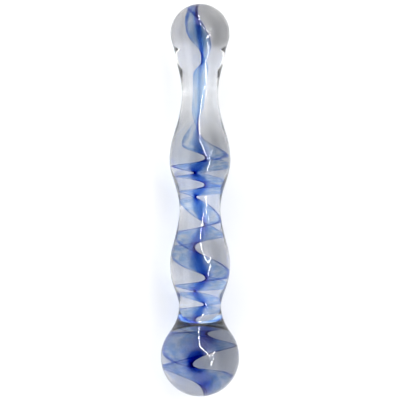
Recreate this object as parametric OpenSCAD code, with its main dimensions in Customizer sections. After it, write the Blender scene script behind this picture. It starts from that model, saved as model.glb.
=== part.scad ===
// Solid glass massage wand, lying on its side.
// +Y runs along the wand towards the knob, and +Z is up.
// The origin is on the resting surface, under the middle of the wand.

/* [Overall] */
// Length from the ball's end to the knob's end, along the wand
overall_length = 178; // [160:1:205]

/* [Ball end] */
// Radius of the ball
ball_r = 17.75; // [16.5:0.05:19]

/* [Knob end] */
// Radius of the knob's round end
knob_r = 13.45; // [12.5:0.05:14.5]

/* [Shaft] */
// Radius at the neck beside the ball
ball_neck_r = 9.55; // [8:0.05:11]
// Radius of the bulge nearer the ball
lower_bulge_r = 13.7; // [12:0.05:15]
// Radius at the neck between the two bulges
middle_neck_r = 9.3; // [8:0.05:11]
// Radius of the bulge nearer the knob
upper_bulge_r = 13.9; // [12:0.05:15]
// Radius at the neck beside the knob
knob_neck_r = 8.25; // [7:0.05:10]

/* [Ribbon] */
// Width of the ribbon, as a share of its usual width
ribbon_width = 1; // [0.7:0.05:1.05]
// Thickness of the ribbon's stronger edge thread, as a share of half its width
ribbon_thickness = 0.1; // [0.06:0.01:0.14]
// Nearest the ribbon comes to the wand's axis, as a share of half its width
ribbon_offset = 0.22; // [0.14:0.01:0.3]
// How far the ribbon's edges bow away from the axis, as a share of half its width
ribbon_bow = 0.38; // [0.2:0.01:0.45]
// Hand of the twist: -1 is left-handed, 1 is right-handed, like a common screw
ribbon_hand = -1; // [-1:2:1]

/* [Hidden] */
$fn = 96;

ball_at = ball_r;
knob_at = overall_length - knob_r;

// Places along the wand are given for this length, and move in proportion when it changes
usual_length = 178;
function place(at) = at * overall_length / usual_length;

// Where the round ends hand over to the shaft, as shares of their radii
ball_join_share = 0.59;
knob_join_share = 0.37;
ball_join = ball_at + ball_join_share * ball_r;
knob_join = knob_at - knob_join_share * knob_r;

// A sphere's radius and slope at a place along the wand
function sphere_r(at, centre, r) = sqrt(max(0, r * r - (at - centre) * (at - centre)));
function sphere_slope(at, centre, r) = (centre - at) / sphere_r(at, centre, r);

// Shaft stations: place along the wand, radius, slope
stations = [
    [ball_join, sphere_r(ball_join, ball_at, ball_r), sphere_slope(ball_join, ball_at, ball_r)],
    [place(34.4), ball_neck_r + 1.2, -0.38],
    [place(40.7), ball_neck_r, 0],
    [place(48.5), (ball_neck_r + lower_bulge_r) / 2, 0.37],
    [place(59.6), lower_bulge_r, 0],
    [place(70.7), (lower_bulge_r + middle_neck_r) / 2 + 0.2, -0.26],
    [place(84.8), middle_neck_r, 0],
    [place(95.2), (middle_neck_r + upper_bulge_r) / 2 - 0.3, 0.31],
    [place(107), upper_bulge_r, 0],
    [place(117.9), upper_bulge_r - 1.75, -0.3],
    [place(128.8), knob_neck_r + 0.9, -0.19],
    [place(137.5), knob_neck_r, 0],
    [place(151.5), knob_neck_r + 2.6, 0.31],
    [knob_join, sphere_r(knob_join, knob_at, knob_r), sphere_slope(knob_join, knob_at, knob_r)],
];

// Smooth curve between two stations, t from 0 to 1
function blend(a, b, t) =
    let (h = b[0] - a[0])
    (2 * t ^ 3 - 3 * t ^ 2 + 1) * a[1] + (t ^ 3 - 2 * t ^ 2 + t) * h * a[2]
    + (3 * t ^ 2 - 2 * t ^ 3) * b[1] + (t ^ 3 - t ^ 2) * h * b[2];

step = 1.2;
shaft_outline = [
    for (i = [0 : len(stations) - 2])
        let (a = stations[i], b = stations[i + 1], n = ceil((b[0] - a[0]) / step))
        for (k = [0 : n - (i < len(stations) - 2 ? 1 : 0)])
            [blend(a, b, k / n), a[0] + (b[0] - a[0]) * k / n],
];

module round_end(at, r, from, to) {
    intersection() {
        translate([0, at]) circle(r);
        translate([0, from]) square([r + 1, to - from]);
    }
}

module half_outline() {
    round_end(ball_at, ball_r, -1, ball_join);
    polygon(concat([[0, ball_join]], shaft_outline, [[0, knob_join]]));
    round_end(knob_at, knob_r, knob_join, overall_length + 1);
}

// Stands upright on the ball's end
module glass_solid() {
    rotate_extrude() half_outline();
}

// The wand lies so that the ball and the knob both touch the surface
tilt = asin((ball_r - knob_r) / (knob_at - ball_at));
half_run = ((knob_at - ball_at) * cos(tilt) + knob_r - ball_r) / 2;

module laid_down() {
    translate([0, -half_run, ball_r])
        rotate([-90 - tilt, 0, 0])
            translate([0, 0, -ball_at]) children();
}

// Half turns the ribbon has made by each place along the wand.
// At a whole number it is seen edge-on from above.
half_turns = [
    [2, -1], [8, -0.8], [12.3, -0.5], [15.3, 0], [25.8, 1], [33.5, 2], [41.9, 3], [48.7, 4],
    [54.4, 5], [66.2, 6], [77.1, 7], [90.5, 8], [96.6, 9], [101.8, 10], [105.2, 10.5], [107.7, 11],
    [115.2, 11.75], [122.5, 12], [130.2, 12.3], [145.6, 12.5], [153.3, 13], [162.4, 13.5], [171.3, 14],
    [176, 14.35],
];

// Half the ribbon's width at each place along the wand, as a share of the glass's radius there
half_widths = [
    [2, 0.7], [22, 0.62], [60, 0.62], [85, 0.6], [108, 0.56], [114, 0.38], [120, 0.3], [130, 0.24],
    [150, 0.22], [166, 0.28], [176, 0.55],
];

// The ribbon's thickness at each place along the wand, as a multiple of its usual share of the width
thickenings = [[2, 0.8], [30, 1], [142, 1], [158, 2.4], [176, 2.6]];

// Adds to each station of a list the slope that keeps the curve smooth and free of bumps there
function rate(list, i) = (list[i + 1][1] - list[i][1]) / (list[i + 1][0] - list[i][0]);
function slope(list, i) =
    i == 0 ? rate(list, 0)
    : i == len(list) - 1 ? rate(list, i - 1)
    : let (before = rate(list, i - 1), after = rate(list, i))
        before * after <= 0 ? 0 : 2 / (1 / before + 1 / after);
function with_slopes(list) = [for (i = [0 : len(list) - 1]) [list[i][0], list[i][1], slope(list, i)]];
function to_places(list) = [for (p = list) [place(p[0]), p[1]]];
turn_stations = with_slopes(to_places(half_turns));
width_stations = with_slopes(to_places(half_widths));
thickness_stations = with_slopes(to_places(thickenings));

// The stretch of a list of stations that a place falls in, and the curve's value there
function stretch(list, at, i = 0) = i >= len(list) - 2 || at < list[i + 1][0] ? i : stretch(list, at, i + 1);
function along(list, at) =
    let (i = stretch(list, at), a = list[i], b = list[i + 1])
    blend(a, b, (at - a[0]) / (b[0] - a[0]));

// How far the ribbon has turned, and how wide it and the glass are, at a place along the wand
function turned(at) = ribbon_hand * 180 * along(turn_stations, at);
function glass_r(at) =
    at < ball_join ? sphere_r(at, ball_at, ball_r)
    : at > knob_join ? sphere_r(at, knob_at, knob_r)
    : along(stations, at);
function ribbon_half_width(at) = ribbon_width * along(width_stations, at) * glass_r(at);

// The ribbon's section, in half widths: t runs from -1 to 1 across it.
// A thick core and a thread near each edge are joined by a thin film.
film = 0.12;
core = 0.6;
core_reach = 0.33;
strong_thread = 1;
weak_thread = 0.6;
thread_at = 0.93;
thread_reach = 0.06;
across = [-1, -thread_at, -0.86, -0.6, -0.3, 0, 0.3, 0.6, 0.86, thread_at, 1];
function hump(t, centre, reach) = exp(-pow((t - centre) / reach, 2));
function thickness(t) =
    ribbon_thickness * (film + core * hump(t, 0, core_reach)
        + strong_thread * hump(t, -thread_at, thread_reach) + weak_thread * hump(t, thread_at, thread_reach));
function section_point(t, half_thickness) = [-ribbon_offset - ribbon_bow * t * t + half_thickness, t];
last_across = len(across) - 1;
corners = 2 * len(across);
function section(thickening) = concat(
    [for (k = [0 : last_across]) section_point(across[k], thickening * thickness(across[k]) / 2)],
    [for (k = [last_across : -1 : 0]) section_point(across[k], -thickening * thickness(across[k]) / 2)]);

// Rings of the ribbon: close together where it turns fast
rings_per_half_turn = 8;
longest_pitch = 3;
last_station = len(turn_stations) - 1;
rings = [
    for (i = [0 : last_station - 1])
        let (a = turn_stations[i], b = turn_stations[i + 1], run = b[0] - a[0])
        let (n = ceil(max(rings_per_half_turn * (b[1] - a[1]), run / longest_pitch)))
        for (k = [0 : n - (i < last_station - 1 ? 1 : 0)]) a[0] + run * k / n,
];
last_ring = len(rings) - 1;

function turn(p, angle) = [p[0] * cos(angle) - p[1] * sin(angle), p[0] * sin(angle) + p[1] * cos(angle)];
ribbon_points = [
    for (at = rings)
        let (angle = turned(at), size = ribbon_half_width(at))
        for (p = section(along(thickness_stations, at))) let (q = turn(p, angle) * size) [q[0], q[1], at],
];
// Both sides of the ribbon are split along matching diagonals, so that they never cross where it is thin
function side_faces(a, a2, b, b2, is_front) =
    is_front ? [[a, b, a2], [a2, b, b2]] : [[a, b, b2], [a, b2, a2]];
ribbon_faces = concat(
    [[for (k = [0 : corners - 1]) k]],
    [[for (k = [corners - 1 : -1 : 0]) last_ring * corners + k]],
    [for (i = [0 : last_ring - 1]) for (k = [0 : corners - 1])
        let (here = i * corners, next = here + corners, k2 = (k + 1) % corners)
        each side_faces(here + k, here + k2, next + k, next + k2, k < last_across)]);

module ribbon_solid() {
    polyhedron(ribbon_points, ribbon_faces);
}

module clear_body() {
    color([0.9, 0.93, 0.95, 0.35]) laid_down() difference() {
        glass_solid();
        ribbon_solid();
    }
}

module blue_ribbon() {
    color([0.1, 0.25, 0.8]) laid_down() ribbon_solid();
}

clear_body();
blue_ribbon();
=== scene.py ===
"""Solid glass massage wand with a twisted blue ribbon inside: its looks, stage, lights and camera."""
import math

import bpy
from mathutils import Matrix, Vector


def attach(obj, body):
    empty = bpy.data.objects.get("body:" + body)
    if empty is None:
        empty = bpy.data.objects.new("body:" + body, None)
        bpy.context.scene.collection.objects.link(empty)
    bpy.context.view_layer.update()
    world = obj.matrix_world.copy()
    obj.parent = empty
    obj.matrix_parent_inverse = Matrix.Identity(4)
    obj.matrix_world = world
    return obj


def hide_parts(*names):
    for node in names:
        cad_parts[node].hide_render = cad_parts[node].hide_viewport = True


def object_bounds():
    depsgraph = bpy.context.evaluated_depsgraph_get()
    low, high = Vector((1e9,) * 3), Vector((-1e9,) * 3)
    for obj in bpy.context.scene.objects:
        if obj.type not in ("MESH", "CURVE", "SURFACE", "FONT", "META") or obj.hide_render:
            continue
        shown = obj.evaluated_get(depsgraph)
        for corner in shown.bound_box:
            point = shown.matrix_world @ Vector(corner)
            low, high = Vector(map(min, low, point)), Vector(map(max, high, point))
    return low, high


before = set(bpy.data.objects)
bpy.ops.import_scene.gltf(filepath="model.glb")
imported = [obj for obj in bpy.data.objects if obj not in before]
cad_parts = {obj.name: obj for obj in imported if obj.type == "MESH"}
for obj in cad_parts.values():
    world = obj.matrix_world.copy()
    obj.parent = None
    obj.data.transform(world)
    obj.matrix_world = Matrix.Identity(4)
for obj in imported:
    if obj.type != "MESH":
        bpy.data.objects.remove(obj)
cad_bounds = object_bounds()

MM = 0.001

# ---- The wand's outline: the same formula and stations as the CAD model's, in millimetres ----
OVERALL_LENGTH = 178.0
BALL_R = 17.75
KNOB_R = 13.45
BALL_AT = BALL_R
KNOB_AT = OVERALL_LENGTH - KNOB_R

# Where the round ends hand over to the shaft, as shares of their radii
BALL_JOIN_SHARE = 0.59
KNOB_JOIN_SHARE = 0.37
BALL_JOIN = BALL_AT + BALL_JOIN_SHARE * BALL_R
KNOB_JOIN = KNOB_AT - KNOB_JOIN_SHARE * KNOB_R


def sphere_r(at, centre, r):
    """A sphere's radius at a place along the wand."""
    return math.sqrt(max(0.0, r * r - (at - centre) ** 2))


def sphere_slope(at, centre, r):
    """How fast that radius grows there."""
    return (centre - at) / sphere_r(at, centre, r)


BALL_NECK_R, LOWER_BULGE_R, MIDDLE_NECK_R, UPPER_BULGE_R, KNOB_NECK_R = 9.55, 13.7, 9.3, 13.9, 8.25

# Place along the wand, radius, slope
STATIONS = [
    (BALL_JOIN, sphere_r(BALL_JOIN, BALL_AT, BALL_R), sphere_slope(BALL_JOIN, BALL_AT, BALL_R)),
    (34.4, BALL_NECK_R + 1.2, -0.38),
    (40.7, BALL_NECK_R, 0.0),
    (48.5, (BALL_NECK_R + LOWER_BULGE_R) / 2, 0.37),
    (59.6, LOWER_BULGE_R, 0.0),
    (70.7, (LOWER_BULGE_R + MIDDLE_NECK_R) / 2 + 0.2, -0.26),
    (84.8, MIDDLE_NECK_R, 0.0),
    (95.2, (MIDDLE_NECK_R + UPPER_BULGE_R) / 2 - 0.3, 0.31),
    (107.0, UPPER_BULGE_R, 0.0),
    (117.9, UPPER_BULGE_R - 1.75, -0.3),
    (128.8, KNOB_NECK_R + 0.9, -0.19),
    (137.5, KNOB_NECK_R, 0.0),
    (151.5, KNOB_NECK_R + 2.6, 0.31),
    (KNOB_JOIN, sphere_r(KNOB_JOIN, KNOB_AT, KNOB_R), sphere_slope(KNOB_JOIN, KNOB_AT, KNOB_R)),
]


def along(stations, at):
    """The smooth curve through a list of (place, value, slope) stations."""
    for a, b in zip(stations, stations[1:]):
        if at < b[0]:
            break
    h = b[0] - a[0]
    t = (at - a[0]) / h
    return (
        (2 * t**3 - 3 * t**2 + 1) * a[1]
        + (t**3 - 2 * t**2 + t) * h * a[2]
        + (3 * t**2 - 2 * t**3) * b[1]
        + (t**3 - t**2) * h * b[2]
    )


def glass_r(at):
    """The glass's radius at a place along the wand."""
    if at < BALL_JOIN:
        return sphere_r(at, BALL_AT, BALL_R)
    if at > KNOB_JOIN:
        return sphere_r(at, KNOB_AT, KNOB_R)
    return along(STATIONS, at)


# ---- The ribbon: how it turns along the wand, its width and its thickness, as in the CAD model ----
# Place along the wand, half turns made by there. At each whole number the ribbon is seen edge-on from above.
HALF_TURNS = [
    (2, -1), (8, -0.8), (12.3, -0.5), (15.3, 0), (25.8, 1), (33.5, 2), (41.9, 3), (48.7, 4),
    (54.4, 5), (66.2, 6), (77.1, 7), (90.5, 8), (96.6, 9), (101.8, 10), (105.2, 10.5), (107.7, 11),
    (115.2, 11.75), (122.5, 12), (130.2, 12.3), (145.6, 12.5), (153.3, 13), (162.4, 13.5), (171.3, 14),
    (176, 14.35),
]
HAND = -1  # a left-handed twist; 1 is right-handed, like a common screw

# Place along the wand, half the ribbon's width as a share of the glass's radius
HALF_WIDTHS = [
    (2, 0.7), (22, 0.62), (60, 0.62), (85, 0.6), (108, 0.56), (114, 0.38), (120, 0.3), (130, 0.24),
    (150, 0.22), (166, 0.28), (176, 0.55),
]

# Place along the wand, the ribbon's thickness there as a multiple of its usual share of the width
THICKENINGS = [(2, 0.8), (30, 1), (142, 1), (158, 2.4), (176, 2.6)]


def with_slopes(stations):
    """Adds to each (place, value) the slope that keeps the curve smooth and free of bumps there."""
    rates = [(q[1] - p[1]) / (q[0] - p[0]) for p, q in zip(stations, stations[1:])]
    inner = [0.0 if p * q <= 0 else 2 / (1 / p + 1 / q) for p, q in zip(rates, rates[1:])]
    return [(at, value, m) for (at, value), m in zip(stations, [rates[0]] + inner + [rates[-1]])]


TURNS = with_slopes(HALF_TURNS)
WIDTHS = with_slopes(HALF_WIDTHS)
THICKS = with_slopes(THICKENINGS)


def turned(at):
    """How far the ribbon has turned at a place along the wand, in degrees."""
    return HAND * 180 * along(TURNS, at)


def ribbon_half_width(at):
    return along(WIDTHS, at) * glass_r(at)


# ---- Laid on its side, with the ball and the knob both touching the floor ----
TILT = math.asin((BALL_R - KNOB_R) / (KNOB_AT - BALL_AT))
HALF_RUN = ((KNOB_AT - BALL_AT) * math.cos(TILT) + KNOB_R - BALL_R) / 2
LAID_DOWN = (
    Matrix.Translation((0, -HALF_RUN, BALL_R))
    @ Matrix.Rotation(-math.pi / 2 - TILT, 4, "X")
    @ Matrix.Translation((0, 0, -BALL_AT))
)


def new_mesh(name, points, faces):
    """A smooth-shaded object from upright points in millimetres, laid down and in metres."""
    mesh = bpy.data.meshes.new(name)
    mesh.from_pydata([(LAID_DOWN @ Vector(p)) * MM for p in points], [], faces)
    mesh.validate()
    mesh.update()
    for polygon in mesh.polygons:
        polygon.use_smooth = True
    piece = bpy.data.objects.new(name, mesh)
    bpy.context.scene.collection.objects.link(piece)
    return piece


def outline_places():
    """Places along the wand for the body's rings: even angles on the round ends, even steps between."""
    arc_steps, step = 48, 0.5
    ball_arc = math.acos((BALL_AT - BALL_JOIN) / BALL_R)
    knob_arc = math.acos((KNOB_JOIN - KNOB_AT) / KNOB_R)
    steps = math.ceil((KNOB_JOIN - BALL_JOIN) / step)
    ball = [BALL_AT - BALL_R * math.cos(ball_arc * k / arc_steps) for k in range(1, arc_steps)]
    shaft = [BALL_JOIN + (KNOB_JOIN - BALL_JOIN) * k / steps for k in range(steps + 1)]
    knob = [KNOB_AT + KNOB_R * math.cos(knob_arc * k / arc_steps) for k in range(arc_steps - 1, 0, -1)]
    return ball + shaft + knob


def make_clear_body():
    sides = 160
    angles = [2 * math.pi * k / sides for k in range(sides)]
    points = [(0, 0, 0)]
    places = outline_places()
    for at in places:
        r = glass_r(at)
        points += [(r * math.cos(a), r * math.sin(a), at) for a in angles]
    points.append((0, 0, OVERALL_LENGTH))
    faces = [(0, 1 + (k + 1) % sides, 1 + k) for k in range(sides)]
    for i in range(len(places) - 1):
        here, there = 1 + i * sides, 1 + (i + 1) * sides
        for k in range(sides):
            k2 = (k + 1) % sides
            faces.append((here + k, here + k2, there + k2, there + k))
    last, tip = 1 + (len(places) - 1) * sides, len(points) - 1
    faces += [(last + k, last + (k + 1) % sides, tip) for k in range(sides)]
    return new_mesh("clear_body_glass", points, faces)


# The ribbon's distance from the axis, bow and thickness, as shares of half its width
RIBBON_OFFSET, RIBBON_BOW, RIBBON_THICKNESS = 0.22, 0.38, 0.1

# The section's parts, as shares of that thickness. Places and reaches across it are in half widths.
FILM = 0.05
CORE, CORE_REACH = 0.6, 0.33
STRONG_THREAD, WEAK_THREAD = 1.1, 0.6
THREAD_AT, THREAD_REACH = 0.93, 0.06


def hump(t, centre, reach):
    return math.exp(-(((t - centre) / reach) ** 2))


def ribbon_section(thickening):
    """Closed outline of the section: a thick core and a thread near each edge, joined by a thin film."""
    steps = 64
    front, back = [], []
    for k in range(steps + 1):
        t = 2 * k / steps - 1
        half = thickening * RIBBON_THICKNESS / 2 * (
            FILM
            + CORE * hump(t, 0, CORE_REACH)
            + STRONG_THREAD * hump(t, -THREAD_AT, THREAD_REACH)
            + WEAK_THREAD * hump(t, THREAD_AT, THREAD_REACH)
        )
        x = -RIBBON_OFFSET - RIBBON_BOW * t * t
        front.append((x + half, t))
        back.append((x - half, t))
    return front + back[::-1]


def make_blue_ribbon():
    corners = len(ribbon_section(1))
    pitch = 0.2
    low, high = HALF_TURNS[0][0], HALF_TURNS[-1][0]
    rings = math.ceil((high - low) / pitch)
    points = []
    for k in range(rings + 1):
        at = low + (high - low) * k / rings
        angle, size = math.radians(turned(at)), ribbon_half_width(at)
        c, s = math.cos(angle) * size, math.sin(angle) * size
        section = ribbon_section(along(THICKS, at))
        points += [(x * c - y * s, x * s + y * c, at) for x, y in section]
    faces = [tuple(reversed(range(corners))), tuple(rings * corners + k for k in range(corners))]
    for i in range(rings):
        here, there = i * corners, (i + 1) * corners
        for k in range(corners):
            k2 = (k + 1) % corners
            faces.append((here + k, here + k2, there + k2, there + k))
    return new_mesh("blue_ribbon_glass", points, faces)


# ---- Materials ----
def new_material(name):
    """A material, its nodes and links, and its first two nodes: the shader and the output."""
    material = bpy.data.materials.new(name)
    material.use_nodes = True
    nodes, links = material.node_tree.nodes, material.node_tree.links
    return material, nodes, links, nodes["Principled BSDF"], nodes["Material Output"]


def noise(nodes, links, scale, stretch=(1.0, 1.0, 1.0), detail=2.0):
    """Noise fixed to the object, in features per metre."""
    place = nodes.new("ShaderNodeTexCoord")
    fit = nodes.new("ShaderNodeMapping")
    fit.inputs["Scale"].default_value = stretch
    texture = nodes.new("ShaderNodeTexNoise")
    texture.inputs["Scale"].default_value = scale
    texture.inputs["Detail"].default_value = detail
    links.new(place.outputs["Object"], fit.inputs["Vector"])
    links.new(fit.outputs["Vector"], texture.inputs["Vector"])
    return texture


def clear_glass():
    """Fire-polished glass: smooth, with a faint hand-worked waviness and a neutral grey tint in its depth."""
    material, nodes, links, shader, output = new_material("clear_glass")
    shader.inputs["Base Color"].default_value = (1.0, 1.0, 1.0, 1.0)
    shader.inputs["Transmission Weight"].default_value = 1.0
    shader.inputs["Roughness"].default_value = 0.0
    shader.inputs["IOR"].default_value = 1.47
    waves = nodes.new("ShaderNodeBump")
    waves.inputs["Strength"].default_value = 0.12
    waves.inputs["Distance"].default_value = 0.0005
    links.new(noise(nodes, links, scale=110.0).outputs["Fac"], waves.inputs["Height"])
    links.new(waves.outputs["Normal"], shader.inputs["Normal"])
    tint = nodes.new("ShaderNodeVolumeAbsorption")
    tint.inputs["Color"].default_value = (0.0, 0.0, 0.0, 1.0)
    tint.inputs["Density"].default_value = 15.0
    links.new(tint.outputs[0], output.inputs["Volume"])
    return material


def blue_glass():
    """Blue glass fused into clear: light passes its faces unbent, past drawn-out streaks, and is absorbed."""
    material, nodes, links, shader, output = new_material("blue_glass")
    nodes.remove(shader)
    streaks = nodes.new("ShaderNodeValToRGB")
    stops = streaks.color_ramp.elements
    stops[0].position, stops[0].color = 0.3, (0.72, 0.85, 0.98, 1.0)
    stops[1].position, stops[1].color = 0.65, (1.0, 1.0, 1.0, 1.0)
    drawn_out = noise(nodes, links, scale=400.0, stretch=(1.0, 0.12, 1.0), detail=1.0)
    links.new(drawn_out.outputs["Fac"], streaks.inputs["Fac"])
    through = nodes.new("ShaderNodeBsdfTransparent")
    links.new(streaks.outputs["Color"], through.inputs["Color"])
    links.new(through.outputs[0], output.inputs["Surface"])
    absorb = nodes.new("ShaderNodeVolumeAbsorption")
    absorb.inputs["Color"].default_value = (0.0, 0.42, 0.9, 1.0)
    absorb.inputs["Density"].default_value = 5000.0
    links.new(absorb.outputs[0], output.inputs["Volume"])
    return material


def floor_paper():
    """Matt, nearly white paper."""
    material, _, _, shader, _ = new_material("floor_paper")
    shader.inputs["Base Color"].default_value = (0.9, 0.9, 0.9, 1.0)
    shader.inputs["Roughness"].default_value = 0.9
    return material


# ---- Pieces ----
body = make_clear_body()
body.data.materials.append(clear_glass())
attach(body, "root")
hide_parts("clear_body")

ribbon = make_blue_ribbon()
ribbon.data.materials.append(blue_glass())
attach(ribbon, "root")
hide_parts("blue_ribbon")


# ---- Stage: floor, world and lights ----
SKY_RADIANCE = 2.4

# Direction of the middle of each, then stops: cosine of the angle from there, and brightness
RING_AXIS = (-0.11, -0.11, 0.988)
RING_STOPS = [(0.0, 0.3), (0.3, 0.35), (0.55, 1.0), (0.74, 1.0), (0.9, 0.0), (1.0, 0.0)]
PATCH_AXIS = (0.406, 0.235, 0.883)
PATCH_STOPS = [(0.955, 0.0), (0.985, 0.9)]

# Strip lights: directions of their ends, and distance and width in metres
LIGHT_DISTANCE = 1.2
ZIGZAG_CORNERS = [(-0.08, 0.943, 0.322), (0.0, 0.52, 0.854), (0.484, 0.039, 0.874), (0.707, 0.29, 0.645)]
ZIGZAG_WIDTH, ZIGZAG_RADIANCE = 0.02, 85.0
SHORT_TUBE_ENDS = (0.64, -0.02, 0.768), (0.458, -0.343, 0.82)
SHORT_TUBE_WIDTH, SHORT_TUBE_RADIANCE = 0.07, 40.0


def make_floor():
    half = 3.0
    corners = [(-half, -half, 0), (half, -half, 0), (half, half, 0), (-half, half, 0)]
    mesh = bpy.data.meshes.new("floor")
    mesh.from_pydata(corners, [], [(0, 1, 2, 3)])
    floor = bpy.data.objects.new("floor", mesh)
    bpy.context.scene.collection.objects.link(floor)
    floor.data.materials.append(floor_paper())


def sky_band(nodes, links, place, axis, stops):
    """Brightness of the sky by the cosine of the angle from an axis."""
    cosine = nodes.new("ShaderNodeVectorMath")
    cosine.operation = "DOT_PRODUCT"
    cosine.inputs[1].default_value = Vector(axis).normalized()
    links.new(place.outputs["Generated"], cosine.inputs[0])
    ramp = nodes.new("ShaderNodeValToRGB")
    ramp.color_ramp.interpolation = "EASE"
    elements = ramp.color_ramp.elements
    while len(elements) < len(stops):
        elements.new(0.5)
    for element, (position, level) in zip(elements, stops):
        element.position = position
        element.color = (level, level, level, 1.0)
    links.new(cosine.outputs["Value"], ramp.inputs["Fac"])
    return ramp


def make_world():
    """A bright ring of sky round a dark opening overhead, with one bright patch."""
    world = bpy.data.worlds.new("studio")
    bpy.context.scene.world = world
    world.use_nodes = True
    nodes, links = world.node_tree.nodes, world.node_tree.links
    background = nodes["Background"]
    place = nodes.new("ShaderNodeTexCoord")
    ring = sky_band(nodes, links, place, RING_AXIS, RING_STOPS)
    patch = sky_band(nodes, links, place, PATCH_AXIS, PATCH_STOPS)
    both = nodes.new("ShaderNodeVectorMath")
    both.operation = "ADD"
    links.new(ring.outputs["Color"], both.inputs[0])
    links.new(patch.outputs["Color"], both.inputs[1])
    links.new(both.outputs["Vector"], background.inputs["Color"])
    background.inputs["Strength"].default_value = SKY_RADIANCE


def strip_light(name, start, end, width, radiance):
    """A narrow light, hidden from the camera, between two directions from the wand's middle."""
    start = Vector(start).normalized() * LIGHT_DISTANCE
    end = Vector(end).normalized() * LIGHT_DISTANCE
    along_strip = end - start
    light = bpy.data.lights.new(name, "AREA")
    light.shape = "RECTANGLE"
    light.size, light.size_y = along_strip.length, width
    light.energy = radiance * math.pi * light.size * light.size_y
    lamp = bpy.data.objects.new(name, light)
    bpy.context.scene.collection.objects.link(lamp)
    middle = (start + end) / 2
    x_axis, z_axis = along_strip.normalized(), middle.normalized()
    y_axis = z_axis.cross(x_axis).normalized()
    z_axis = x_axis.cross(y_axis)
    turn = Matrix((x_axis, y_axis, z_axis)).transposed().to_4x4()
    lamp.matrix_world = Matrix.Translation(middle) @ turn
    lamp.visible_camera = False
    lamp.visible_diffuse = False
    lamp.visible_transmission = False


def make_strip_lights():
    """The zigzag of thin tubes that every bulge mirrors."""
    for k, (start, end) in enumerate(zip(ZIGZAG_CORNERS, ZIGZAG_CORNERS[1:])):
        strip_light(f"zigzag_{k + 1}", start, end, ZIGZAG_WIDTH, ZIGZAG_RADIANCE)
    strip_light("short_tube", *SHORT_TUBE_ENDS, SHORT_TUBE_WIDTH, SHORT_TUBE_RADIANCE)


make_floor()
make_world()
make_strip_lights()


# ---- Camera: straight above, with the wand upright in the frame ----
# The view's height as a multiple of the wand's length, and how far its middle is off the wand's, in metres
VIEW_SHARE = 1.01678
VIEW_SHIFT = -0.0003


def make_camera():
    camera = bpy.data.objects.new("camera", bpy.data.cameras.new("camera"))
    bpy.context.scene.collection.objects.link(camera)
    bpy.context.scene.camera = camera
    camera.data.lens = 110
    camera.data.sensor_width = 36
    low, high = cad_bounds
    framed = (high.y - low.y) * VIEW_SHARE
    mid_height = high.z / 2
    distance = framed / 2 / (camera.data.sensor_width / 2 / camera.data.lens)
    camera.location = (0, VIEW_SHIFT, mid_height + distance)
    camera.data.clip_start, camera.data.clip_end = 0.01, 50


make_camera()

# Enough bounces for light to pass through both sides of the body and of the ribbon several times
scene = bpy.context.scene
scene.view_settings.view_transform = "Standard"
scene.cycles.max_bounces = 24
scene.cycles.transmission_bounces = 24
scene.cycles.transparent_max_bounces = 32
